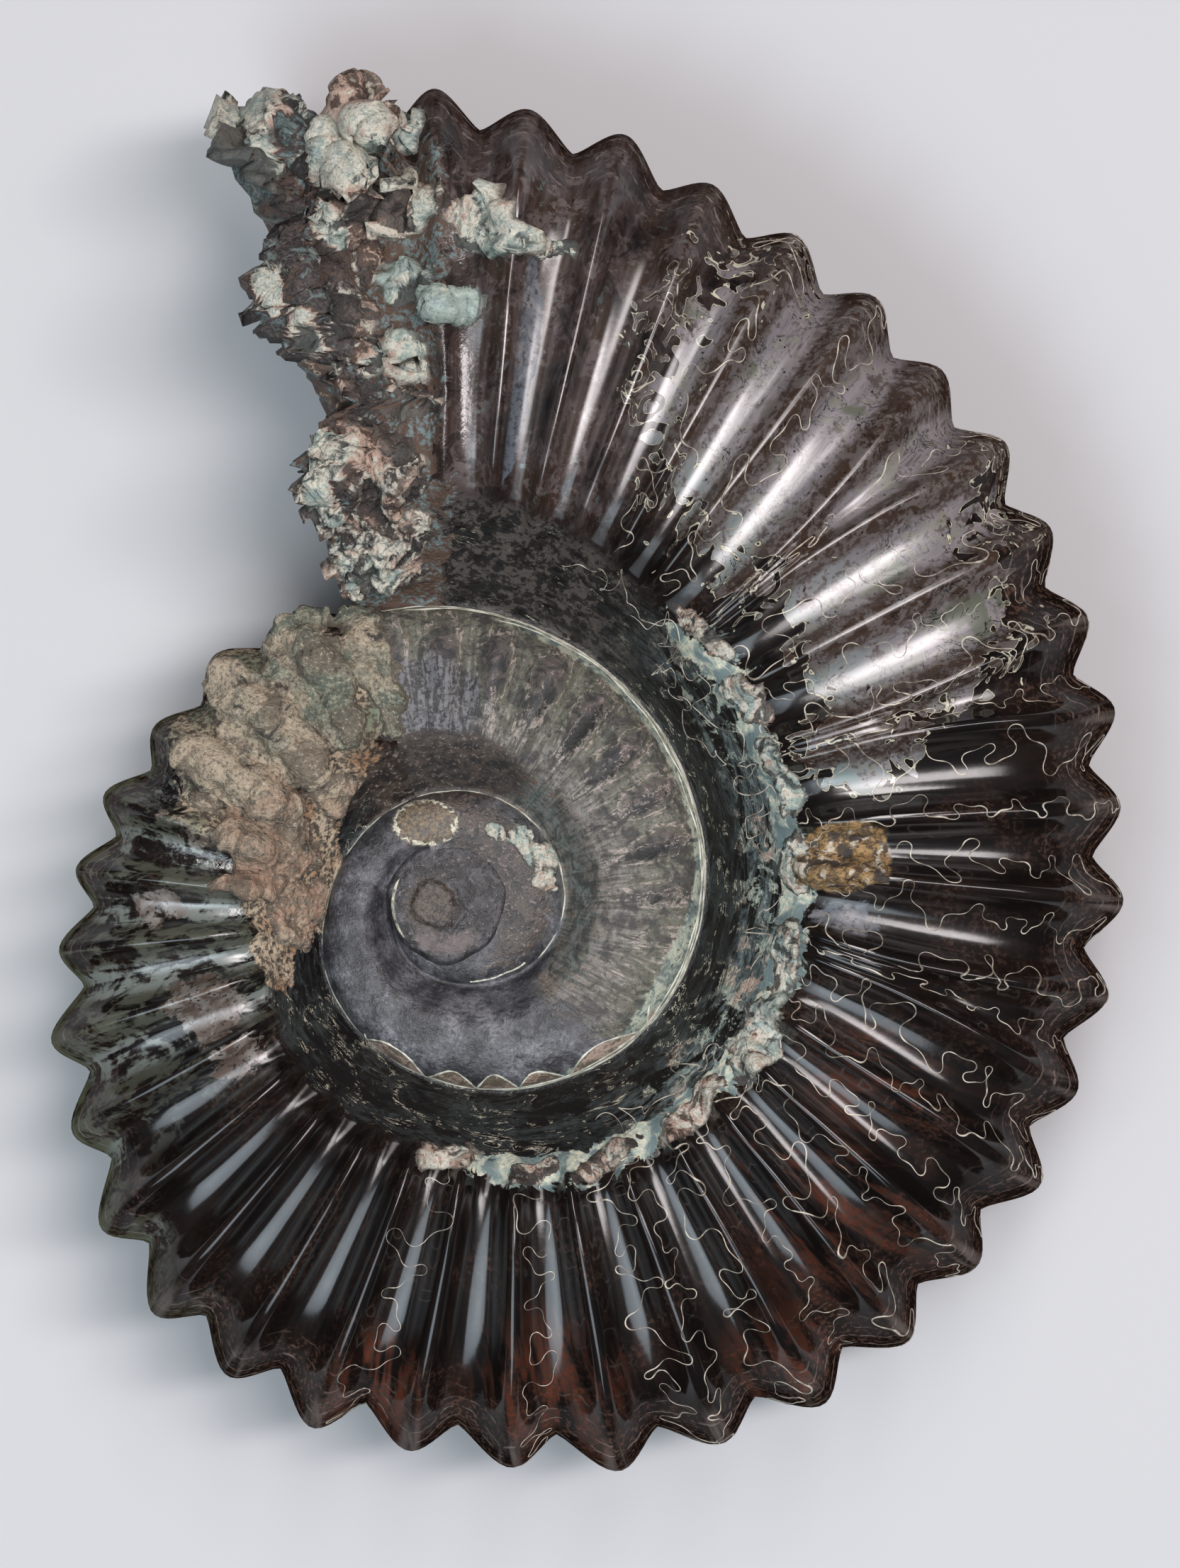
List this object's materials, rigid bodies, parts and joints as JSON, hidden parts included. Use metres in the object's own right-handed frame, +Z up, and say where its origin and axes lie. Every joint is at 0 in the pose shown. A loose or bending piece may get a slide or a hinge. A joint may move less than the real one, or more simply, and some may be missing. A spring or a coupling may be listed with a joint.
{
  "type": "fossil ammonite",
  "caption": "Polished ribbed ammonite lying on one flank: a coiled shell of close radial ribs, a sunken centre and a broken mouth.",
  "frame": {"origin": "on the floor, under the middle of the shell's box, with three groups of ground rib crests on the floor", "axes": "+Z up, out of the polished flank that faces up; +Y along the longest way across the coil, toward the broken mouth; +X toward the side of the coil that is widest"},
  "size_m": [0.104, 0.1338, 0.0394],
  "materials": {
    "polished_shell": "polished black-brown stone with cream suture lines, grey-green valleys and tan rock left in the centre"
  },
  "bodies": {
    "root": {"ammonite": "polished_shell"}
  },
  "joints": []
}
